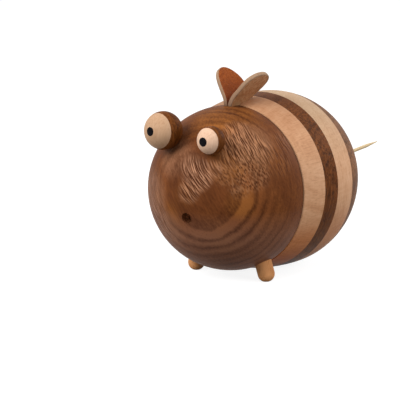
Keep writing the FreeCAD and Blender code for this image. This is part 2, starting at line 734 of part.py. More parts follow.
def make_stored_toothpicks(pick):
    """Rows of toothpicks lying on the floor of the chamber."""
    radius, gap = value(cell("pick_radius")), value(cell("pick_spacing"))
    pitch = 2 * radius + gap
    room = value(cell("chamber_radius")) - radius - gap
    lowest = -math.sqrt(room ** 2 - pitch ** 2)
    start = value("Sizes.chamber_reach - Sizes.pick_end_gap")
    master = pick.Tip.Shape
    lying = FreeCAD.Rotation(V(1, 0, 0), 90)
    picks = []
    for row in range(STORED_ROWS):
        height = lowest + row * pitch * math.sqrt(3) / 2
        half_width = math.sqrt(max(room ** 2 - height ** 2, 0))
        shift = (row % 2) / 2
        reach = math.floor(half_width / pitch - shift + 1e-6)
        places = [(index + shift) * pitch for index in range(-reach - row % 2, reach + 1)]
        for x in places:
            stored = master.copy()
            stored.Placement = FreeCAD.Placement(V(x, start, height), lying) * master.Placement
            picks.append(stored)
    group = doc.addObject("Part::Feature", "stored_toothpicks")
    group.Shape = Part.makeCompound(picks)
    group.Placement = FreeCAD.Placement(V(0, 0, value(AXIS_HEIGHT)), FreeCAD.Rotation())
    group.Label = "stored_toothpicks"
    return group


def all_parts():
    toothpick = make_toothpick()
    doc.recompute()
    parts = [make_ring_front(), make_ring_middle(), make_ring_rear(), make_tail_cap(),
             make_seal_ring(), make_head(), toothpick, make_stored_toothpicks(toothpick)]
    for side, sign in (("left", "1"), ("right", "-1")):
        parts += make_eye(side, sign)
        parts.append(make_foot(side, sign))
    return parts + make_wings()


def check(parts):
    """Stop before anything is written if an object failed or a shape isn't sound."""
    for item in doc.Objects:
        if "Invalid" in item.State or "Error" in item.State:
            raise RuntimeError(f"{item.Label} failed: {item.State}")
    for part in parts:
        if part.Shape.isNull() or not part.Shape.isValid() or not part.Shape.Solids:
            raise RuntimeError(f"{part.Label} has no sound shape")


parts = all_parts()
doc.recompute()
check(parts)
os.makedirs("parts", exist_ok=True)
for part in parts:
    part.Shape.exportStep(f"parts/{part.Label}.step")
    print(part.Label, len(part.Shape.Solids), round(part.Shape.Volume, 1))
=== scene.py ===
import math

import bmesh
import bpy
from mathutils import Matrix, Vector, noise


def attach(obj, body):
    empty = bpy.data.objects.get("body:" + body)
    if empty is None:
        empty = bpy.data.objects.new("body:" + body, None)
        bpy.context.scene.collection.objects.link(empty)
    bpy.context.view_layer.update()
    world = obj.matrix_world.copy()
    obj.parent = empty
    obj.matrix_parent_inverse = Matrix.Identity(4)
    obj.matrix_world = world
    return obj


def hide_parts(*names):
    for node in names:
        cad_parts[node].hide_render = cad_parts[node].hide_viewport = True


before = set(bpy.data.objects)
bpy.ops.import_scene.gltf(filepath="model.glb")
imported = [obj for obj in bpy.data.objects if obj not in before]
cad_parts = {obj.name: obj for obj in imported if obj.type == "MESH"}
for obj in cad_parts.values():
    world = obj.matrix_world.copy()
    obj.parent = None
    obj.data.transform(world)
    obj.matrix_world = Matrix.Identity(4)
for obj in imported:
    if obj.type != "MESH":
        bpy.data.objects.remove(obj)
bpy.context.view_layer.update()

MM = 0.001

# The bee looks along -Y, its tail is at +Y and its left side is +X. The axis of the turned body
# runs along Y at this height over the table.
AXIS_HEIGHT = 42.75 * MM
AXIS_POINT = Vector((0.0, 0.0, AXIS_HEIGHT))
# Half the width of the belly in millimetres.
BELLY_RADIUS = 43.0
HEAD_CENTRE = Vector((0.0, -32.9 * MM, AXIS_HEIGHT))
HEAD_RADIUS = 39.4 * MM
# Middle of each eyeball, and the way it looks.
EYES = {"left": AXIS_POINT + Vector((12.99, -66.04, 28.1)) * MM,
        "right": AXIS_POINT + Vector((-13.67, -67.1, 30.3)) * MM}
GAZES = {"left": (0.0, -1.0, 0.0), "right": (-0.1, -0.99, 0.05)}
# Middle of the left foot in millimetres. The right foot mirrors it.
FOOT = (21.5, -32.0, 5.0)


def new_material(name):
    material = bpy.data.materials.new(name)
    material.use_nodes = True
    tree = material.node_tree
    tree.nodes.clear()
    return material, tree


def add(tree, kind, inputs=None, **settings):
    """New node. An input that is a socket is linked, and any other value is set."""
    node = tree.nodes.new(f"ShaderNode{kind}")
    for key, value in settings.items():
        setattr(node, key, value)
    for key, value in (inputs or {}).items():
        if isinstance(value, bpy.types.NodeSocket):
            tree.links.new(value, node.inputs[key])
        else:
            node.inputs[key].default_value = value
    return node


def maths(tree, operation, first, second=0.0, clamp=False):
    return add(tree, "Math", {0: first, 1: second}, operation=operation, use_clamp=clamp).outputs[0]


def dot(tree, vector, direction):
    node = add(tree, "VectorMath", {0: vector, 1: direction}, operation="DOT_PRODUCT")
    return node.outputs["Value"]


def less(tree, vector, other):
    return add(tree, "VectorMath", {0: vector, 1: other}, operation="SUBTRACT").outputs[0]


def scaled(tree, vector, factors):
    return add(tree, "VectorMath", {0: vector, 1: factors}, operation="MULTIPLY").outputs[0]


def coordinate(tree, vector, axis):
    """One number of a vector: axis 0, 1 or 2 is X, Y or Z."""
    return add(tree, "SeparateXYZ", {0: vector}).outputs[axis]


def slope(tree, value, start, end):
    """0 at the start and 1 at the end, in a straight line between them."""
    node = add(tree, "MapRange", {"Value": value, "From Min": start, "From Max": end})
    return node.outputs["Result"]


def ramp(tree, factor, stops, interpolation="LINEAR"):
    """Colour ramp from (position, colour) or (position, grey) stops."""
    node = add(tree, "ValToRGB", {"Fac": factor})
    node.color_ramp.interpolation = interpolation
    elements = node.color_ramp.elements
    while len(elements) < len(stops):
        elements.new(0.5)
    for element, (position, colour) in zip(elements, stops):
        element.position = position
        element.color = (colour, colour, colour, 1.0) if isinstance(colour, float) else (*colour, 1.0)
    return node.outputs["Color"]


def mix(tree, factor, first, second, blend="MIX"):
    """Mix of two colours. Inputs 0, 6 and 7 of the node are the factor and the colours."""
    node = add(tree, "Mix", data_type="RGBA", blend_type=blend)
    for index, value in ((0, factor), (6, first), (7, second)):
        if isinstance(value, bpy.types.NodeSocket):
            tree.links.new(value, node.inputs[index])
        elif index:
            node.inputs[index].default_value = (*value, 1.0)
        else:
            node.inputs[index].default_value = value
    return node.outputs[2]


def noise_at(tree, vector, scale, detail=2.0, roughness=0.5):
    return add(tree, "TexNoise", {"Vector": vector, "Scale": scale, "Detail": detail,
                                  "Roughness": roughness}).outputs["Fac"]


def bands_at(tree, value, scale, detail=2.0):
    """Bands that follow one number, as growth rings follow the distance from the pith."""
    return add(tree, "TexNoise", {"W": value, "Scale": scale, "Detail": detail},
               noise_dimensions="1D").outputs["Fac"]


def centred(tree, value, amount):
    """The value less a half, times the amount."""
    return maths(tree, "MULTIPLY", maths(tree, "SUBTRACT", value, 0.5), amount)


def total(tree, values, clamp=False):
    """Sum of several values."""
    result = values[0]
    for value in values[1:-1]:
        result = maths(tree, "ADD", result, value)
    return maths(tree, "ADD", result, values[-1], clamp=clamp)


def near(tree, place, point, reach, soft):
    """1 within the reach of a point in millimetres, and 0 from the reach and the soft edge on."""
    away = add(tree, "VectorMath", {0: place, 1: point}, operation="DISTANCE").outputs["Value"]
    return add(tree, "MapRange", {"Value": away, "From Min": reach + soft, "From Max": reach},
               interpolation_type="SMOOTHSTEP").outputs["Result"]


def strongest(tree, place, spots):
    """The largest of several soft spots: point, reach, soft edge and strength."""
    result = 0.0
    for point, reach, soft, strength in spots:
        one = maths(tree, "MULTIPLY", near(tree, place, point, reach, soft), strength)
        result = maths(tree, "MAXIMUM", one, result)
    return result


def srgb(text):
    """Linear colour of a hex code."""
    parts = [int(text[index:index + 2], 16) / 255 for index in (0, 2, 4)]
    return tuple(c / 12.92 if c <= 0.04045 else ((c + 0.055) / 1.055) ** 2.4 for c in parts)


def darker(colour, share):
    return tuple(share * part for part in colour)


def millimetres(tree, centre):
    """Place on the piece in millimetres from the centre."""
    place = add(tree, "TexCoord").outputs["Object"]
    return scaled(tree, less(tree, place, tuple(centre)), (1000.0, 1000.0, 1000.0))


def timber_axes(tree, place, fibre, layer):
    """Place in the timber's own axes: through the growth layers, across them, and along the fibre."""
    layer = Vector(layer).normalized()
    fibre = Vector(fibre)
    fibre = (fibre - layer * fibre.dot(layer)).normalized()
    side = fibre.cross(layer)
    parts = [dot(tree, place, tuple(axis)) for axis in (layer, side, fibre)]
    axes = add(tree, "CombineXYZ", {0: parts[0], 1: parts[1], 2: parts[2]}).outputs[0]
    return axes, parts


def pores(tree, axes, width, length, size):
    """Dark dashes along the fibre: 1 in a pore, 0 beside it."""
    cells = add(tree, "TexVoronoi", {"Vector": scaled(tree, axes, (1 / width, 1 / width, 1 / length)),
                                     "Scale": 1.0}).outputs["Distance"]
    return ramp(tree, cells, [(size * 0.55, 1.0), (size, 0.0)])


def painted_light_by_height(tree, place, colour, painted_light):
    """Painted light and shade that change with the height over the axis, from (millimetres, factors) stops.
    """
    share = slope(tree, coordinate(tree, place, 2), -BELLY_RADIUS, BELLY_RADIUS)
    stops = [((height + BELLY_RADIUS) / (2 * BELLY_RADIUS), factors) for height, factors in painted_light]
    return mix(tree, 1.0, colour, ramp(tree, share, stops, "EASE"), "MULTIPLY")


# Relief in metres, roughness, and how much light each surface throws back.
SURFACES = {
    "walnut": (0.00012, 0.42, 0.04),
    "head": (0.00030, 0.42, 0.04),
    "maple": (0.00005, 0.44, 0.04),
    "leather": (0.00018, 0.62, 0.08),
    "black": (0.00003, 0.22, 0.04),
    "rubber": (0.00005, 0.55, 0.4),
}
RELIEF_STRENGTH = 0.6


def finish(tree, surface, colour, height, unevenness):
    """Surface of one material. The unevenness is added to the surface's own roughness."""
    relief, roughness, shine = SURFACES[surface]
    bump = add(tree, "Bump", {"Height": height, "Strength": RELIEF_STRENGTH, "Distance": relief})
    shader = add(tree, "BsdfPrincipled", {"Base Color": colour,
                                          "Roughness": maths(tree, "ADD", unevenness, roughness),
                                          "Normal": bump.outputs["Normal"],
                                          "Specular IOR Level": shine})
    output = add(tree, "OutputMaterial")
    tree.links.new(shader.outputs[0], output.inputs[0])


# How much of the plain walnut has its warm tone, and how much its pores darken it.
WARMTH = 0.3
PORE_SHADE = 0.8
# How much the fibres of walnut add to its relief and to its roughness.
FIBRE_RELIEF = 0.25
FIBRE_ROUGHNESS = 0.16


def walnut(name, centre, fibre, layer, colours, painted_light=None):
    """Walnut in a dark, a middle and a warm colour: wavy growth bands and short dark pores."""
    material, tree = new_material(name)
    dark, mid, warm = (srgb(code) for code in colours)
    place = millimetres(tree, centre)
    axes, (through, _, _) = timber_axes(tree, place, fibre, layer)
    swell = noise_at(tree, scaled(tree, axes, (1.0, 1.0, 0.45)), scale=0.030)
    wave = noise_at(tree, scaled(tree, axes, (1.0, 1.0, 0.30)), scale=0.11)
    depth = total(tree, [through, centred(tree, swell, 9.0), centred(tree, wave, 1.6)])
    broad = bands_at(tree, depth, scale=0.17, detail=1.0)
    fine = bands_at(tree, depth, scale=0.62)
    fibres = noise_at(tree, scaled(tree, axes, (1.0, 1.0, 0.05)), scale=1.0, detail=3.0, roughness=0.6)
    patch = noise_at(tree, scaled(tree, axes, (1.0, 0.8, 0.35)), scale=0.045, detail=3.0, roughness=0.55)

    tone = total(tree, [centred(tree, broad, 1.2), centred(tree, fine, 0.7),
                        centred(tree, fibres, 3.0), 0.5], clamp=True)
    warm_share = maths(tree, "ADD", centred(tree, patch, 3.0), WARMTH, clamp=True)
    colour = mix(tree, tone, dark, mix(tree, warm_share, mid, warm))
    # Painted light and shade by height over the axis, where it is given.
    if painted_light:
        colour = painted_light_by_height(tree, place, colour, painted_light)

    dashes = maths(tree, "MAXIMUM", pores(tree, axes, width=0.95, length=5.5, size=0.34),
                   pores(tree, axes, width=0.6, length=2.4, size=0.28))
    crowd = ramp(tree, noise_at(tree, scaled(tree, axes, (1.0, 1.0, 0.5)), scale=0.075),
                 [(0.38, 0.2), (0.55, 1.0)])
    pore = maths(tree, "MULTIPLY", dashes, crowd)
    colour = mix(tree, maths(tree, "MULTIPLY", pore, PORE_SHADE), colour, darker(dark, 0.35))
    height = maths(tree, "SUBTRACT", maths(tree, "MULTIPLY", fibres, FIBRE_RELIEF), pore)
    finish(tree, "walnut", colour, height, maths(tree, "MULTIPLY", fibres, FIBRE_ROUGHNESS))
    return material


# The head's block of walnut: its fibre runs down to the bee's left, and its growth layers lie
# across the face. Its colours are dark, middle and warm.
HEAD_FIBRE = (0.54, 0.0, -0.84)
HEAD_LAYER = (0.241, -0.949, 0.133)
HEAD_COLOURS = ("4a2612", "7e4826", "9c602e")
# The head's tables reach this far from its middle, in millimetres.
HEAD_SPAN = 40.0
# Growth rings of the head: depth from its middle along the layer normal in millimetres, and how
# light the wood is there.
HEAD_RINGS = [(-38.0, 0.55), (-33.0, 0.35), (-29.5, 0.62), (-24.0, 0.30), (-20.0, 0.60), (-15.0, 0.38),
              (-11.5, 0.66), (-7.0, 0.34), (-3.0, 0.60), (1.0, 0.36), (4.0, 0.62), (7.0, 0.38),
              (9.8, 0.62), (12.0, 0.40), (14.0, 0.62), (16.0, 0.38), (18.5, 0.62), (20.5, 0.48),
              (22.0, 0.64), (23.8, 0.42), (25.9, 0.78), (28.0, 0.34), (29.9, 0.80), (31.6, 0.34),
              (33.3, 0.95), (34.4, 0.95), (35.6, 0.38), (38.0, 0.46), (39.4, 0.50)]
# Crowds of open pores on the head. Each has the way its surface faces, its fibre direction, the
# pitch of the pores across and along the fibre in millimetres, their size as a share of the pitch,
# how far its lines bow, how evenly they lie beside each other, the colour of the painted sheen on
# the wood between them, and its places: point from the head's middle, reach, soft edge and strength.
PORE_CROWDS = [
    ((0.12, -0.93, 0.36), (0.677, -0.188, -0.712), 0.75, 7.5, 0.32, 0.020, 0.8, "dca27c",
     [((7.8, -36.7, 12.0), 5.0, 4.5, 1.0), ((3.6, -35.9, 15.8), 3.0, 4.0, 0.7),
      ((4.6, -38.9, 4.6), 3.0, 4.0, 0.9), ((14.5, -33.5, 15.0), 2.0, 4.0, 0.6)]),
    ((0.56, -0.53, 0.63), (0.665, -0.161, -0.729), 0.75, 6.5, 0.38, 0.006, 0.6, "c8906a",
     [((22.2, -21.0, 24.9), 7.0, 5.0, 1.0), ((16.5, -18.0, 31.0), 3.5, 5.0, 0.8),
      ((27.5, -16.5, 22.5), 4.5, 6.0, 0.8), ((19.5, -27.5, 20.0), 3.0, 4.0, 0.8)]),
    ((0.73, -0.59, 0.35), (0.502, 0.112, -0.857), 0.9, 2.2, 0.38, 0.0, 0.0, "ae7a54",
     [((28.8, -23.1, 13.8), 6.0, 5.0, 0.85), ((25.9, -28.5, 8.3), 3.0, 5.0, 0.8),
      ((19.5, -31.5, 12.5), 3.0, 4.0, 0.6)]),
    ((-0.44, -0.86, -0.25), (0.541, -0.028, -0.840), 0.9, 10.0, 0.32, 0.0, 0.8, "b8886e",
     [((-17.2, -34.0, -9.9), 5.0, 7.0, 0.7), ((-14.0, -33.0, -17.0), 3.0, 5.0, 0.6),
      ((-22.0, -32.0, 1.0), 4.0, 7.0, 0.5)]),
    ((0.88, -0.30, 0.35), (0.35, 0.10, -0.93), 1.1, 7.0, 0.28, 0.0, 0.4, "9c6238",
     [((33.5, -9.5, 17.5), 4.0, 6.0, 0.8), ((30.0, -2.0, 25.0), 3.0, 5.0, 0.7)]),
]
# The even lines of a crowd: how fast they follow each other, in radians per millimetre, and how far
# they wander.
COMB_TURNS = 5.6
COMB_WANDER = 7.0
# How much painted sheen the wood between the open pores takes, and the colour and share of the pores.
RIDGE_SHEEN_SHARE = 0.58
PORE_COLOUR = "3e1b0d"
PORE_SHARE = 0.85
# Golden places on the head: point from its middle, reach, soft edge and strength.
GOLDEN = [((19.9, -29.5, 17.0), 4.0, 8.0, 0.9), ((5.9, -12.8, 36.8), 8.0, 16.0, 0.8),
          ((23.0, -20.0, 25.0), 5.0, 11.0, 0.8), ((3.0, -39.0, 3.0), 2.0, 7.0, 0.6),
          ((-6.0, -37.0, -8.0), 2.0, 7.0, 0.5), ((26.6, -28.4, 0.0), 3.0, 7.0, 0.65)]
# Painted sheen on the head, in the same form, and the colour that its light bands take there.
PAINTED_SHEEN = [((-21.0, -32.0, -1.0), 7.0, 9.0, 0.45), ((-11.0, -34.0, -15.0), 4.0, 8.0, 0.35),
        ((24.0, -16.0, 27.0), 5.0, 9.0, 0.40), ((-7.0, -34.0, 18.5), 5.0, 8.0, 0.35)]
PAINTED_SHEEN_COLOUR = "b88a6c"
# Where the growth rings of the head show most, and how much they show elsewhere.
CLEAR_RINGS = [((24.0, -24.0, -18.0), 14.0, 18.0, 1.0), ((2.0, -30.0, -25.0), 8.0, 14.0, 0.7),
               ((8.0, -12.0, 36.0), 6.0, 14.0, 0.9), ((-36.0, -6.0, -8.0), 12.0, 18.0, 0.7),
               ((28.5, -26.5, 3.0), 5.0, 9.0, 0.8)]
FAINT_RINGS = 0.25
# The lower half of the head is duller: how much, by the depth below its middle as a share of the
# span, and the dark and the light colour there.
UNDERSIDE = [(0.12, 0.0), (0.45, 0.7), (0.75, 0.7), (1.0, 0.0)]
UNDERSIDE_COLOURS = ("643f30", "986a52")
# Middle of the floor of the drilled mouth, its reach and soft edge, and the colour of the painted light on
# it.
MOUTH_FLOOR = (2.9, -32.4, -8.4)
MOUTH_REACH = (3.4, 1.0)
MOUTH_PAINTED_LIGHT = "ac7c58"
# Painted shade darkens the wood at the head's rim along its seam with the front ring, between these
# places behind its middle, and a painted shadow darkens it where the near wing leaves it: point,
# reach and soft edge. All are in millimetres.
RIM = (2.6, 3.7)
SLOT_MOUTH = (3.2, 2.2, 39.0)
SLOT_REACH = (2.2, 3.0)
PAINTED_SHADE_SHARE = 0.75


def crowd_pattern(tree, place, origin, facing, fibre, width, length, size, bow, even):
    """The pores of one crowd and the ridges between them, which take painted sheen, both from 0 to 1."""
    away = less(tree, place, origin)
    _, (_, across, along) = timber_axes(tree, away, fibre, facing)
    wander = centred(tree, noise_at(tree, place, scale=0.09, detail=0.0), 2.0)
    bowed = maths(tree, "MULTIPLY", maths(tree, "MULTIPLY", along, along), bow)
    bend = total(tree, [across, wander, bowed])
    flat = add(tree, "CombineXYZ", {0: maths(tree, "MULTIPLY", bend, 1 / width),
                                    1: maths(tree, "MULTIPLY", along, 1 / length)}).outputs[0]
    cells = add(tree, "TexVoronoi", {"Vector": flat, "Scale": 1.0},
                voronoi_dimensions="2D").outputs["Distance"]
    gathered = ramp(tree, noise_at(tree, scaled(tree, flat, (0.22, 0.30, 1.0)), scale=1.0),
                    [(0.34, 0.15), (0.52, 1.0)])
    dashes = maths(tree, "MULTIPLY", ramp(tree, cells, [(size * 0.6, 1.0), (size, 0.0)]), gathered)
    grain = noise_at(tree, scaled(tree, flat, (1.0, 0.8, 1.0)), scale=1.0, detail=1.0)
    if even:
        turns = total(tree, [maths(tree, "MULTIPLY", bend, COMB_TURNS), centred(tree, grain, COMB_WANDER)])
        comb = centred(tree, maths(tree, "SINE", turns), 0.2 * even)
        lines = ramp(tree, maths(tree, "ADD", grain, comb), [(0.30, 1.0), (0.375, 0.0)])
        dashes = maths(tree, "MAXIMUM", dashes, lines)
    return dashes, ramp(tree, grain, [(0.44, 0.2), (0.62, 1.0)])


def head_walnut():
    """The head's walnut: rings that lie round the face, crowds of open pores, golden patches."""
    material, tree = new_material("walnut_head")
    dark, mid, warm = (srgb(code) for code in HEAD_COLOURS)
    place = millimetres(tree, HEAD_CENTRE)
    axes, (through, _, _) = timber_axes(tree, place, HEAD_FIBRE, HEAD_LAYER)
    swell = noise_at(tree, scaled(tree, axes, (1.0, 1.0, 0.6)), scale=0.045)
    wave = noise_at(tree, scaled(tree, axes, (1.0, 1.0, 0.5)), scale=0.16)
    depth = total(tree, [through, centred(tree, swell, 4.5), centred(tree, wave, 1.4)])
    share = maths(tree, "MULTIPLY", maths(tree, "ADD", depth, HEAD_SPAN), 1 / (2 * HEAD_SPAN))
    stops = [((at + HEAD_SPAN) / (2 * HEAD_SPAN), light) for at, light in HEAD_RINGS]
    rings = ramp(tree, share, stops, "EASE")
    clear = maths(tree, "MAXIMUM", strongest(tree, place, CLEAR_RINGS), FAINT_RINGS)
    fine = bands_at(tree, depth, scale=0.9)
    fibres = noise_at(tree, scaled(tree, axes, (1.2, 1.2, 0.09)), scale=1.0, detail=4.0, roughness=0.65)
    cloud = noise_at(tree, scaled(tree, axes, (1.0, 1.0, 0.4)), scale=0.06, detail=3.0, roughness=0.55)

    tone = total(tree, [maths(tree, "MULTIPLY", centred(tree, rings, 1.8), clear),
                        centred(tree, fine, 0.35), centred(tree, fibres, 1.3),
                        centred(tree, cloud, 1.0), 0.5], clamp=True)
    warm_share = total(tree, [strongest(tree, place, GOLDEN), centred(tree, cloud, 1.2)], clamp=True)
    colour = mix(tree, tone, dark, mix(tree, warm_share, mid, warm))
    low = maths(tree, "MULTIPLY", coordinate(tree, place, 2), -1 / HEAD_SPAN)
    dull_dark, dull_light = (srgb(code) for code in UNDERSIDE_COLOURS)
    colour = mix(tree, ramp(tree, low, UNDERSIDE), colour, mix(tree, tone, dull_dark, dull_light))
    # Painted sheen: the light bands turn paler at these places.
    painted_sheen = maths(tree, "MULTIPLY", strongest(tree, place, PAINTED_SHEEN), tone)
    colour = mix(tree, painted_sheen, colour, srgb(PAINTED_SHEEN_COLOUR))
    # Painted light on the floor of the drilled mouth.
    colour = mix(tree, near(tree, place, MOUTH_FLOOR, *MOUTH_REACH), colour, srgb(MOUTH_PAINTED_LIGHT))

    polish = 0.0
    pore = maths(tree, "MULTIPLY", pores(tree, axes, width=0.9, length=3.2, size=0.24), 0.3)
    for *pattern, ridge_sheen_colour, spots in PORE_CROWDS:
        dashes, ridge_sheen = crowd_pattern(tree, place, spots[0][0], *pattern)
        crowd = strongest(tree, place, spots)
        polish = maths(tree, "MAXIMUM", crowd, polish)
        # Painted sheen on the ridges between the pores.
        ridge_sheen = maths(tree, "MULTIPLY", maths(tree, "MULTIPLY", ridge_sheen, crowd), RIDGE_SHEEN_SHARE)
        colour = mix(tree, ridge_sheen, colour, srgb(ridge_sheen_colour))
        pore = maths(tree, "MAXIMUM", pore, maths(tree, "MULTIPLY", dashes, crowd))
    colour = mix(tree, maths(tree, "MULTIPLY", pore, PORE_SHARE), colour, srgb(PORE_COLOUR))
    # Painted shade along the seam at the rim, and a painted shadow under the near wing's root.
    rim = slope(tree, coordinate(tree, place, 1), *RIM)
    painted_shade = maths(tree, "MAXIMUM", rim, near(tree, place, SLOT_MOUTH, *SLOT_REACH))
    colour = mix(tree, maths(tree, "MULTIPLY", painted_shade, PAINTED_SHADE_SHARE), colour, darker(dark, 0.45))
    height = maths(tree, "SUBTRACT", maths(tree, "MULTIPLY", fibres, FIBRE_RELIEF), pore)
    unevenness = total(tree, [maths(tree, "MULTIPLY", fibres, FIBRE_ROUGHNESS),
                              maths(tree, "MULTIPLY", polish, -0.14), maths(tree, "MULTIPLY", pore, 0.4)])
    finish(tree, "head", colour, height, unevenness)
    return material


# Painted light and shade on the rings, as factors on their colour by height over the axis in millimetres:
# painted shade makes them darker and browner at the bottom.
FRONT_PAINTED_LIGHT = [(-43.0, (0.04, 0.02, 0.01)), (-40.0, (0.30, 0.15, 0.08)), (-35.0, (0.66, 0.36, 0.21)),
               (-25.0, (0.88, 0.60, 0.40)), (-10.0, (1.0, 0.95, 0.90)), (10.0, (1.0, 1.0, 1.0)),
               (24.0, (0.92, 0.88, 0.85)), (38.0, (0.72, 0.66, 0.61))]
STRIPE_PAINTED_LIGHT = [(-43.0, (0.05, 0.04, 0.04)), (-38.5, (0.30, 0.28, 0.30)), (-33.0, (1.05, 1.10, 1.20)),
                (-26.0, (1.15, 1.20, 1.25)), (-12.0, (1.05, 1.0, 1.0))]
REAR_PAINTED_LIGHT = [(-42.0, (0.60, 0.46, 0.36)), (-25.0, (0.87, 0.70, 0.60)), (-5.0, (1.0, 1.0, 1.0)),
              (12.0, (1.0, 1.0, 1.0)), (22.0, (0.92, 0.98, 1.0)), (38.0, (0.78, 0.92, 1.0))]


def maple(name, centre, fibre, layer, colours, figure=0.5, painted_light=None):
    """Maple in a pale, a middle and a deep colour: faint growth lines, flecks and a curl."""
    material, tree = new_material(name)
    pale, mid, deep = (srgb(code) for code in colours)
    place = millimetres(tree, centre)
    axes, (through, _, _) = timber_axes(tree, place, fibre, layer)
    swell = noise_at(tree, scaled(tree, axes, (1.0, 1.0, 0.4)), scale=0.035)
    lines = bands_at(tree, maths(tree, "ADD", through, centred(tree, swell, 7.0)), scale=0.45)
    fibres = noise_at(tree, scaled(tree, axes, (1.5, 1.5, 0.04)), scale=1.0, detail=3.0, roughness=0.6)
    flecks = pores(tree, axes, width=0.6, length=1.8, size=0.22)
    cloud = noise_at(tree, axes, scale=0.06)
    curl = noise_at(tree, scaled(tree, axes, (0.10, 0.16, 0.85)), scale=1.0)

    tone = total(tree, [centred(tree, lines, 0.5), centred(tree, fibres, 1.1), centred(tree, curl, figure),
                        centred(tree, cloud, 0.7), 0.5], clamp=True)
    colour = ramp(tree, tone, [(0.0, deep), (0.5, mid), (1.0, pale)])
    # Painted light and shade by height over the axis, where it is given.
    if painted_light:
        colour = painted_light_by_height(tree, place, colour, painted_light)
    streaks = ramp(tree, fibres, [(0.34, 0.16), (0.42, 0.0)])
    colour = mix(tree, maths(tree, "MULTIPLY", flecks, 0.18), colour, darker(deep, 0.7))
    colour = mix(tree, streaks, colour, darker(deep, 0.6))
    height = maths(tree, "SUBTRACT", maths(tree, "MULTIPLY", fibres, 0.6),
                   maths(tree, "MULTIPLY", flecks, 0.3))
    finish(tree, "maple", colour, height, maths(tree, "MULTIPLY", fibres, 0.14))
    return material


def gloss_black(name, centre):
    """Polished black plug with faint turning marks."""
    material, tree = new_material(name)
    place = millimetres(tree, centre)
    cloud = noise_at(tree, place, scale=0.9, detail=3.0)
    scratch = noise_at(tree, scaled(tree, place, (6.0, 0.5, 6.0)), scale=1.0, detail=3.0)
    colour = ramp(tree, cloud, [(0.3, (0.002, 0.0015, 0.002)), (0.7, (0.006, 0.005, 0.006))])
    finish(tree, "black", colour, scratch, maths(tree, "MULTIPLY", scratch, 0.15))
    return material


def rubber(name):
    """Dull black rubber with a little dust."""
    material, tree = new_material(name)
    dust = noise_at(tree, millimetres(tree, HEAD_CENTRE), scale=1.4, detail=4.0)
    colour = ramp(tree, dust, [(0.35, (0.012, 0.012, 0.013)), (0.75, (0.030, 0.029, 0.028))])
    finish(tree, "rubber", colour, dust, maths(tree, "MULTIPLY", dust, 0.2))
    return material


def dress(node, material):
    """Put one material on a CAD node."""
    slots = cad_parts[node].material_slots
    for slot in slots:
        slot.material = material
    if not slots:
        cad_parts[node].data.materials.append(material)


# Colours of the maple pieces: pale, middle and deep.
RING_COLOURS = ("e0b491", "d3a27d", "bd8964")
# The right eye's maple is the left eye's made darker: painted shade on the far eye.
EYE_COLOURS = {"left": ("ebc7ac", "e2bb9e", "d2a88a"), "right": ("caa688", "c29c7c", "b78e6c")}
DOWEL_COLOURS = ("d8b08a", "c99c74", "b4835c")
FOOT_COLOURS = ("ecac76", "dc9a64", "b87242")
# Birch of the toothpicks, in the same order.
PICK_COLOURS = ("e8d6b4", "dcc49c", "c8a878")
# Colours of the walnut pieces: dark, middle and warm.
STRIPE_COLOURS = ("4a2810", "6e4122", "804c26")
TAIL_COLOURS = ("58361f", "83583b", "96643f")
EYE_BACK_COLOURS = ("4e270a", "74421c", "884e26")


def dress_pieces():
    """Wood, black plugs and rubber on the pieces that come from the frame."""
    dress("head_ball", head_walnut())
    upright = (0.3, 0.1, 1.0)
    dress("ring_middle", walnut("walnut_stripe", AXIS_POINT, upright, (0.9, 0.3, -0.2),
                                STRIPE_COLOURS, STRIPE_PAINTED_LIGHT))
    dress("tail_cap", walnut("walnut_tail", AXIS_POINT, upright, (0.8, 0.5, -0.2), TAIL_COLOURS))
    dress("ring_front", maple("maple_front", AXIS_POINT, (0.2, 1.0, 0.1), (1.0, 0.0, 0.5),
                              RING_COLOURS, painted_light=FRONT_PAINTED_LIGHT))
    dress("ring_rear", maple("maple_rear", AXIS_POINT, (0.12, 0.15, 1.0), (0.3, 1.0, 0.1),
                             RING_COLOURS, painted_light=REAR_PAINTED_LIGHT))
    steep = (0.2, 0.1, 1.0)
    for side, way in (("left", 1), ("right", -1)):
        middle, gaze = EYES[side], GAZES[side]
        dress(f"eye_front_{side}", maple(f"maple_eye_{side}", middle, steep, gaze, EYE_COLOURS[side],
                                         figure=0.2))
        dress(f"eye_back_{side}", walnut(f"walnut_eye_{side}", middle, steep, gaze, EYE_BACK_COLOURS))
        dress(f"pupil_{side}", gloss_black(f"pupil_{side}_black", middle))
        dress(f"eye_dowel_{side}", maple(f"beech_dowel_{side}", middle, (0.3, -0.7, 0.6), (1.0, 0.3, 0.0),
                                         DOWEL_COLOURS))
        foot = Vector((way * FOOT[0], FOOT[1], FOOT[2])) * MM
        dress(f"foot_{side}", maple(f"maple_foot_{side}", foot, steep, (0.8, -0.6, 0.0), FOOT_COLOURS,
                                    figure=0.2))
    for node in ("toothpick", "stored_toothpicks"):
        dress(node, maple(f"birch_{node}", AXIS_POINT, (0.1, 1.0, 0.13), (1.0, 0.0, 0.3), PICK_COLOURS,
                          figure=0.1))
    dress("seal_ring", rubber("black_rubber"))


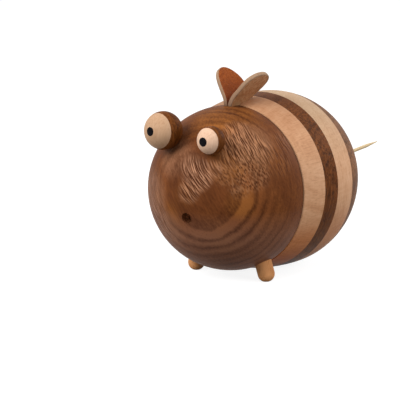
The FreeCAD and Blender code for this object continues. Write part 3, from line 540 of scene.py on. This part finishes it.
# Leather wings: two leaves in one slot on top of the head, bent outwards and swept back.
THICKNESS = 2.0 * MM
WING_GAP = 0.3 * MM
BEND_RADIUS = 7.9 * MM
LEANS = {"left": math.radians(41.8), "right": math.radians(37.2)}
SWEEP = math.radians(37.0)
LENGTH = 22.85 * MM
TIP_RADIUS = 9.4 * MM
SHOULDER_HALF = 3.45 * MM
SHOULDER_RISE = 0.15 * MM
TONGUE_HALF = 2.3 * MM
TONGUE_BACK = -0.1 * MM
SLOT_DEPTH = 5.3 * MM
WING_BASE = Vector((0.0, -32.6 * MM, AXIS_HEIGHT + HEAD_RADIUS - 0.6 * MM))
STEM = LENGTH - TIP_RADIUS
TIP = Vector((STEM * math.cos(SWEEP), STEM * math.sin(SWEEP)))
# Steps of the outline along each stretch, and how often its corners are softened.
TONGUE_STEPS = 12
SHOULDER_STEPS = 3
FLANK_STEPS = 12
TIP_STEPS = 48
SOFTENINGS = 3
# Section of a leaf: how far in from the edge in millimetres the rows of each face lie, and the
# rounded cut edge from face to face, with its level on the half thickness.
FACE_ROWS = (4.5, 2.6, 1.3, 0.6)
EDGE_ROWS = ((0.26, 0.955), (0.10, 0.80), (0.02, 0.50), (0.0, 0.0),
             (0.02, -0.50), (0.10, -0.80), (0.26, -0.955))
# Rows near the spine stop at this share of the way to it.
MOST_INSET = 0.92
# The leaf is cupped this deep at its widest, and fully so from this height on.
CUP = 0.5 * MM
CUP_RISE = 6.0 * MM
# The surface ripples by this many millimetres, at this scale.
RIPPLE = 0.10
RIPPLE_SCALE = 260.0
# Heights over the head in millimetres: below the first, painted shade darkens the leather towards
# its root, and from the second on it is lightest.
ROOT_RISE = 4.0
LIGHT_RISE = 17.0
# Material slots of a leaf.
OUTER_FACE, INNER_FACE, CUT_EDGE = range(3)


def leather(name, colours, spot_amount, pitch, relief):
    """One side of thick vegetable-tanned leather. Its colours are low, high and spots."""
    material, tree = new_material(name)
    low, high, spot = (srgb(code) for code in colours)
    place = millimetres(tree, WING_BASE)
    rise = coordinate(tree, place, 2)
    up = maths(tree, "MULTIPLY", rise, 1 / LIGHT_RISE, clamp=True)
    blotch = noise_at(tree, place, scale=0.30, detail=3.0, roughness=0.6)
    mottle = noise_at(tree, place, scale=0.9 / pitch, detail=3.0, roughness=0.7)
    creases = ramp(tree, add(tree, "TexVoronoi", {"Vector": place, "Scale": 1.0 / pitch},
                             feature="DISTANCE_TO_EDGE").outputs["Distance"], [(0.0, 1.0), (0.16, 0.0)])

    colour = mix(tree, maths(tree, "ADD", up, centred(tree, blotch, 1.0), clamp=True), low, high)
    spots = ramp(tree, mottle, [(0.42, 0.0), (0.60, 1.0)])
    colour = mix(tree, maths(tree, "MULTIPLY", spots, spot_amount), colour, spot)
    deep = darker(low, 0.4)
    colour = mix(tree, maths(tree, "MULTIPLY", creases, 0.35 * relief), colour, deep)
    # Painted shade at the wing's root, where it meets the head.
    painted_root_shade = slope(tree, rise, ROOT_RISE, 0.0)
    colour = mix(tree, maths(tree, "MULTIPLY", painted_root_shade, 0.6), colour, deep)
    height = maths(tree, "SUBTRACT", mottle, maths(tree, "MULTIPLY", creases, relief))
    finish(tree, "leather", colour, height, maths(tree, "MULTIPLY", mottle, 0.2))
    return material


def wing_line(distance, lean):
    """Point and outward normal of the leather's middle, in X and Z, this far up from the head."""
    start_x = WING_GAP / 2 + THICKNESS / 2
    if distance <= 0:
        return Vector((start_x, distance)), Vector((1.0, 0.0))
    angle = min(distance / BEND_RADIUS, lean)
    rest = max(distance - BEND_RADIUS * lean, 0.0)
    point = Vector((start_x + BEND_RADIUS * (1 - math.cos(angle)) + rest * math.sin(angle),
                    BEND_RADIUS * math.sin(angle) + rest * math.cos(angle)))
    return point, Vector((math.cos(angle), -math.sin(angle)))


def chain(stops, steps):
    """Points along the lines from stop to stop, without the last stop."""
    points = []
    for start, stop, parts in zip(stops, stops[1:], steps):
        points += [start.lerp(stop, index / parts) for index in range(parts)]
    return points


def wing_outline():
    """Points (up, back) round the leaf: tongue, shoulder, flank, round tip, and down again."""
    corners = [Vector((SHOULDER_RISE, way * SHOULDER_HALF)) for way in (-1, 1)]
    touches = []
    for corner, way in zip(corners, (-1, 1)):
        reach = (TIP - corner).length
        heading = math.atan2(TIP.y - corner.y, TIP.x - corner.x) + way * math.asin(TIP_RADIUS / reach)
        run = math.sqrt(reach ** 2 - TIP_RADIUS ** 2)
        touches.append(corner + Vector((math.cos(heading), math.sin(heading))) * run)
    roots = [Vector((SHOULDER_RISE, TONGUE_BACK + way * TONGUE_HALF)) for way in (-1, 1)]
    floors = [Vector((-SLOT_DEPTH, TONGUE_BACK + way * TONGUE_HALF)) for way in (-1, 1)]
    steps = (TONGUE_STEPS, SHOULDER_STEPS, FLANK_STEPS)
    points = chain([floors[0], roots[0], corners[0], touches[0]], steps)
    first, last = (math.atan2(point.y - TIP.y, point.x - TIP.x) for point in touches)
    for index in range(TIP_STEPS):
        angle = first + (last - first) * index / TIP_STEPS
        points.append(TIP + Vector((math.cos(angle), math.sin(angle))) * TIP_RADIUS)
    points += chain([touches[1], corners[1], roots[1], floors[1]], steps[::-1])
    return points + [floors[1]]


def smooth_outline(points, rounds):
    """Soften the corners without moving the ends."""
    for _ in range(rounds):
        middle = [here * 0.5 + (before + after) * 0.25
                  for before, here, after in zip(points, points[1:], points[2:])]
        points = [points[0], *middle, points[-1]]
    return points


def spine_point(point):
    """Nearest place to an outline point on the line from the tongue to the middle of the blade."""
    if point.x <= 0:
        return Vector((point.x, TONGUE_BACK))
    start = Vector((0.0, TONGUE_BACK))
    along = (point - start).dot(TIP - start) / (TIP - start).length_squared
    return start.lerp(TIP, max(0.0, min(1.0, along)))


def leaf_point(point, inset, level, sign, lean):
    """Place in a leaf, this far in from an outline point, or on the spine where that is None."""
    inner = spine_point(point)
    reach = (inner - point).length
    share = 1.0 if inset is None else min(inset * MM / max(reach, 1e-6), MOST_INSET)
    flat = point.lerp(inner, share)
    line, normal = wing_line(flat.x, lean)
    across = flat.y - TIP.y * max(flat.x, 0.0) / TIP.x
    cup = CUP * (across / TIP_RADIUS) ** 2 * min(max(flat.x, 0.0) / CUP_RISE, 1.0)
    place = line - normal * cup + normal * (THICKNESS / 2 * level)
    vertex = Vector((sign * place.x, WING_BASE.y + flat.y, WING_BASE.z + place.y))
    if flat.x > 0:
        ripple = noise.noise(vertex * RIPPLE_SCALE) * RIPPLE * MM
        vertex += Vector((sign * normal.x, 0.0, normal.y)) * ripple
    return vertex


def make_wing(name, sign, lean, materials):
    """Thick leaf of leather, cupped a little, with rounded cut edges."""
    outline = smooth_outline(wing_outline(), SOFTENINGS)
    section = [(None, 1.0), *((inset, 1.0) for inset in FACE_ROWS), *EDGE_ROWS,
               *((inset, -1.0) for inset in reversed(FACE_ROWS)), (None, -1.0)]
    first_edge = len(FACE_ROWS)
    last_edge = first_edge + len(EDGE_ROWS)

    mesh = bmesh.new()
    rows = [[mesh.verts.new(leaf_point(point, inset, level, sign, lean)) for point in outline]
            for inset, level in section]
    for index, (upper, lower) in enumerate(zip(rows, rows[1:])):
        if index < first_edge:
            part = OUTER_FACE
        elif index < last_edge:
            part = CUT_EDGE
        else:
            part = INNER_FACE
        for k in range(len(outline) - 1):
            quad = [upper[k], upper[k + 1], lower[k + 1], lower[k]]
            face = mesh.faces.new(quad if sign > 0 else quad[::-1])
            face.material_index = part
            face.smooth = True
    # The outline starts and ends at the foot of the tongue, which is closed here.
    for index in range(1, len(rows) - 2):
        quad = [rows[index][0], rows[index + 1][0], rows[index + 1][-1], rows[index][-1]]
        face = mesh.faces.new(quad if sign > 0 else quad[::-1])
        face.material_index = CUT_EDGE
    bmesh.ops.remove_doubles(mesh, verts=mesh.verts, dist=1e-6)
    bmesh.ops.recalc_face_normals(mesh, faces=mesh.faces)
    data = bpy.data.meshes.new(name)
    mesh.to_mesh(data)
    mesh.free()
    for material in materials:
        data.materials.append(material)
    wing = bpy.data.objects.new(name, data)
    bpy.context.scene.collection.objects.link(wing)
    return wing


def add_wings():
    """Both leaves, with the grain side inwards, the flesh side outwards and pale cut edges."""
    grain = leather("leather_grain", ("783410", "ab5a24", "863e12"), spot_amount=0.75, pitch=0.9, relief=1.0)
    flesh = leather("leather_flesh", ("b08058", "d4a47c", "a0663c"), spot_amount=0.7, pitch=1.3, relief=0.3)
    edge = leather("leather_edge", ("8e6e58", "b09074", "98785e"), spot_amount=0.5, pitch=0.8, relief=0.2)
    for side, sign in (("left", 1), ("right", -1)):
        wing = make_wing(f"leather_wing_{side}", sign, LEANS[side], (flesh, grain, edge))
        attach(wing, "head")
        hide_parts(f"wing_{side}")


# The camera stands this far round to the bee's left and this far up. Its distance and the shift of
# its aim, to the right and up, are counted in belly radii.
AZIMUTH = math.radians(37.0)
ELEVATION = math.radians(10.95)
DISTANCE = 20.0
AIM_RIGHT = -0.79941
AIM_UP = -0.25437
LENS = 157.75
SENSOR_WIDTH = 36.0
NEAREST_SEEN = 0.01


def add_camera():
    """Camera in the place from which the bee was photographed."""
    right = Vector((math.cos(AZIMUTH), math.sin(AZIMUTH), 0.0))
    back = Vector((math.sin(AZIMUTH) * math.cos(ELEVATION),
                   -math.cos(AZIMUTH) * math.cos(ELEVATION), math.sin(ELEVATION)))
    up = back.cross(right)
    camera = bpy.data.objects.new("camera", bpy.data.cameras.new("camera"))
    camera.data.lens = LENS
    camera.data.sensor_width = SENSOR_WIDTH
    camera.data.clip_start = NEAREST_SEEN
    matrix = Matrix((right, up, back)).transposed().to_4x4()
    shift = back * DISTANCE + right * AIM_RIGHT + up * AIM_UP
    matrix.translation = AXIS_POINT + BELLY_RADIUS * MM * shift
    camera.matrix_world = matrix
    bpy.context.scene.collection.objects.link(camera)
    bpy.context.scene.camera = camera


# Table top: its size in metres, its grey as the eye sees it and as it lights the bee from below,
# and the glow that makes it white to the eye.
FLOOR_RADIUS = 12.0
FLOOR_SIDES = 96
SEEN_GREYS = (0.28, 0.32)
BOUNCE_GREY = (0.18, 0.18, 0.18)
FLOOR_GLOW = 0.88
# Light from all round, and what is added to it where it is seen directly.
ROOM_LIGHT = 0.40
ROOM_SEEN = 0.60
# Each lamp: place, size in metres and power in watts. All point at the bee's middle.
LAMPS = {
    "key": ((-0.42, -0.95, 0.70), 0.8, 12.0),
    "side": ((0.9, -0.1, 0.45), 0.6, 3.2),
    "top": ((0.40, -0.18, 1.0), 0.5, 2.5),
    "back": ((0.35, 1.0, 0.50), 0.6, 4.0),
}
MIDDLE = (0.0, -0.02, 0.045)


def seen_directly(tree):
    """1 for rays that come straight from the eye or by way of a shiny or clear surface."""
    rays = add(tree, "LightPath")
    kinds = ("Is Camera Ray", "Is Glossy Ray", "Is Transmission Ray")
    return total(tree, [rays.outputs[kind] for kind in kinds], clamp=True)


def add_floor():
    """White table top that goes on behind the bee. It keeps the shadow."""
    mesh = bmesh.new()
    bmesh.ops.create_circle(mesh, cap_ends=True, segments=FLOOR_SIDES, radius=FLOOR_RADIUS)
    data = bpy.data.meshes.new("floor")
    mesh.to_mesh(data)
    mesh.free()
    floor = bpy.data.objects.new("floor", data)
    bpy.context.scene.collection.objects.link(floor)
    material, tree = new_material("white_floor")
    speckle = noise_at(tree, add(tree, "TexCoord").outputs["Object"], scale=40.0)
    grey = ramp(tree, speckle, [(0.0, SEEN_GREYS[0]), (1.0, SEEN_GREYS[1])])
    surface = add(tree, "BsdfDiffuse", {"Color": mix(tree, seen_directly(tree), BOUNCE_GREY, grey)})
    glow = add(tree, "Emission", {"Color": (1.0, 1.0, 1.0, 1.0),
                                  "Strength": maths(tree, "MULTIPLY", seen_directly(tree), FLOOR_GLOW)})
    both = add(tree, "AddShader")
    tree.links.new(surface.outputs[0], both.inputs[0])
    tree.links.new(glow.outputs[0], both.inputs[1])
    output = add(tree, "OutputMaterial")
    tree.links.new(both.outputs[0], output.inputs[0])
    data.materials.append(material)


def add_area(name, place, size, power):
    """Round lamp that points at the bee's middle."""
    light = bpy.data.lights.new(name, "AREA")
    light.shape = "DISK"
    light.size = size
    light.energy = power
    lamp = bpy.data.objects.new(name, light)
    lamp.location = place
    lamp.rotation_euler = (Vector(MIDDLE) - Vector(place)).to_track_quat("-Z", "Y").to_euler()
    bpy.context.scene.collection.objects.link(lamp)


def add_world():
    """Even white light from all round."""
    world = bpy.data.worlds.new("studio")
    bpy.context.scene.world = world
    world.use_nodes = True
    tree = world.node_tree
    tree.nodes.clear()
    strength = maths(tree, "ADD", maths(tree, "MULTIPLY", seen_directly(tree), ROOM_SEEN), ROOM_LIGHT)
    light = add(tree, "Background", {"Color": (1.0, 1.0, 1.0, 1.0), "Strength": strength})
    output = add(tree, "OutputWorld")
    tree.links.new(light.outputs[0], output.inputs[0])


dress_pieces()
add_wings()
add_camera()
add_floor()
add_world()
for lamp_name, (lamp_place, lamp_size, lamp_power) in LAMPS.items():
    add_area(lamp_name, lamp_place, lamp_size, lamp_power)

bpy.context.scene.view_settings.view_transform = "Standard"
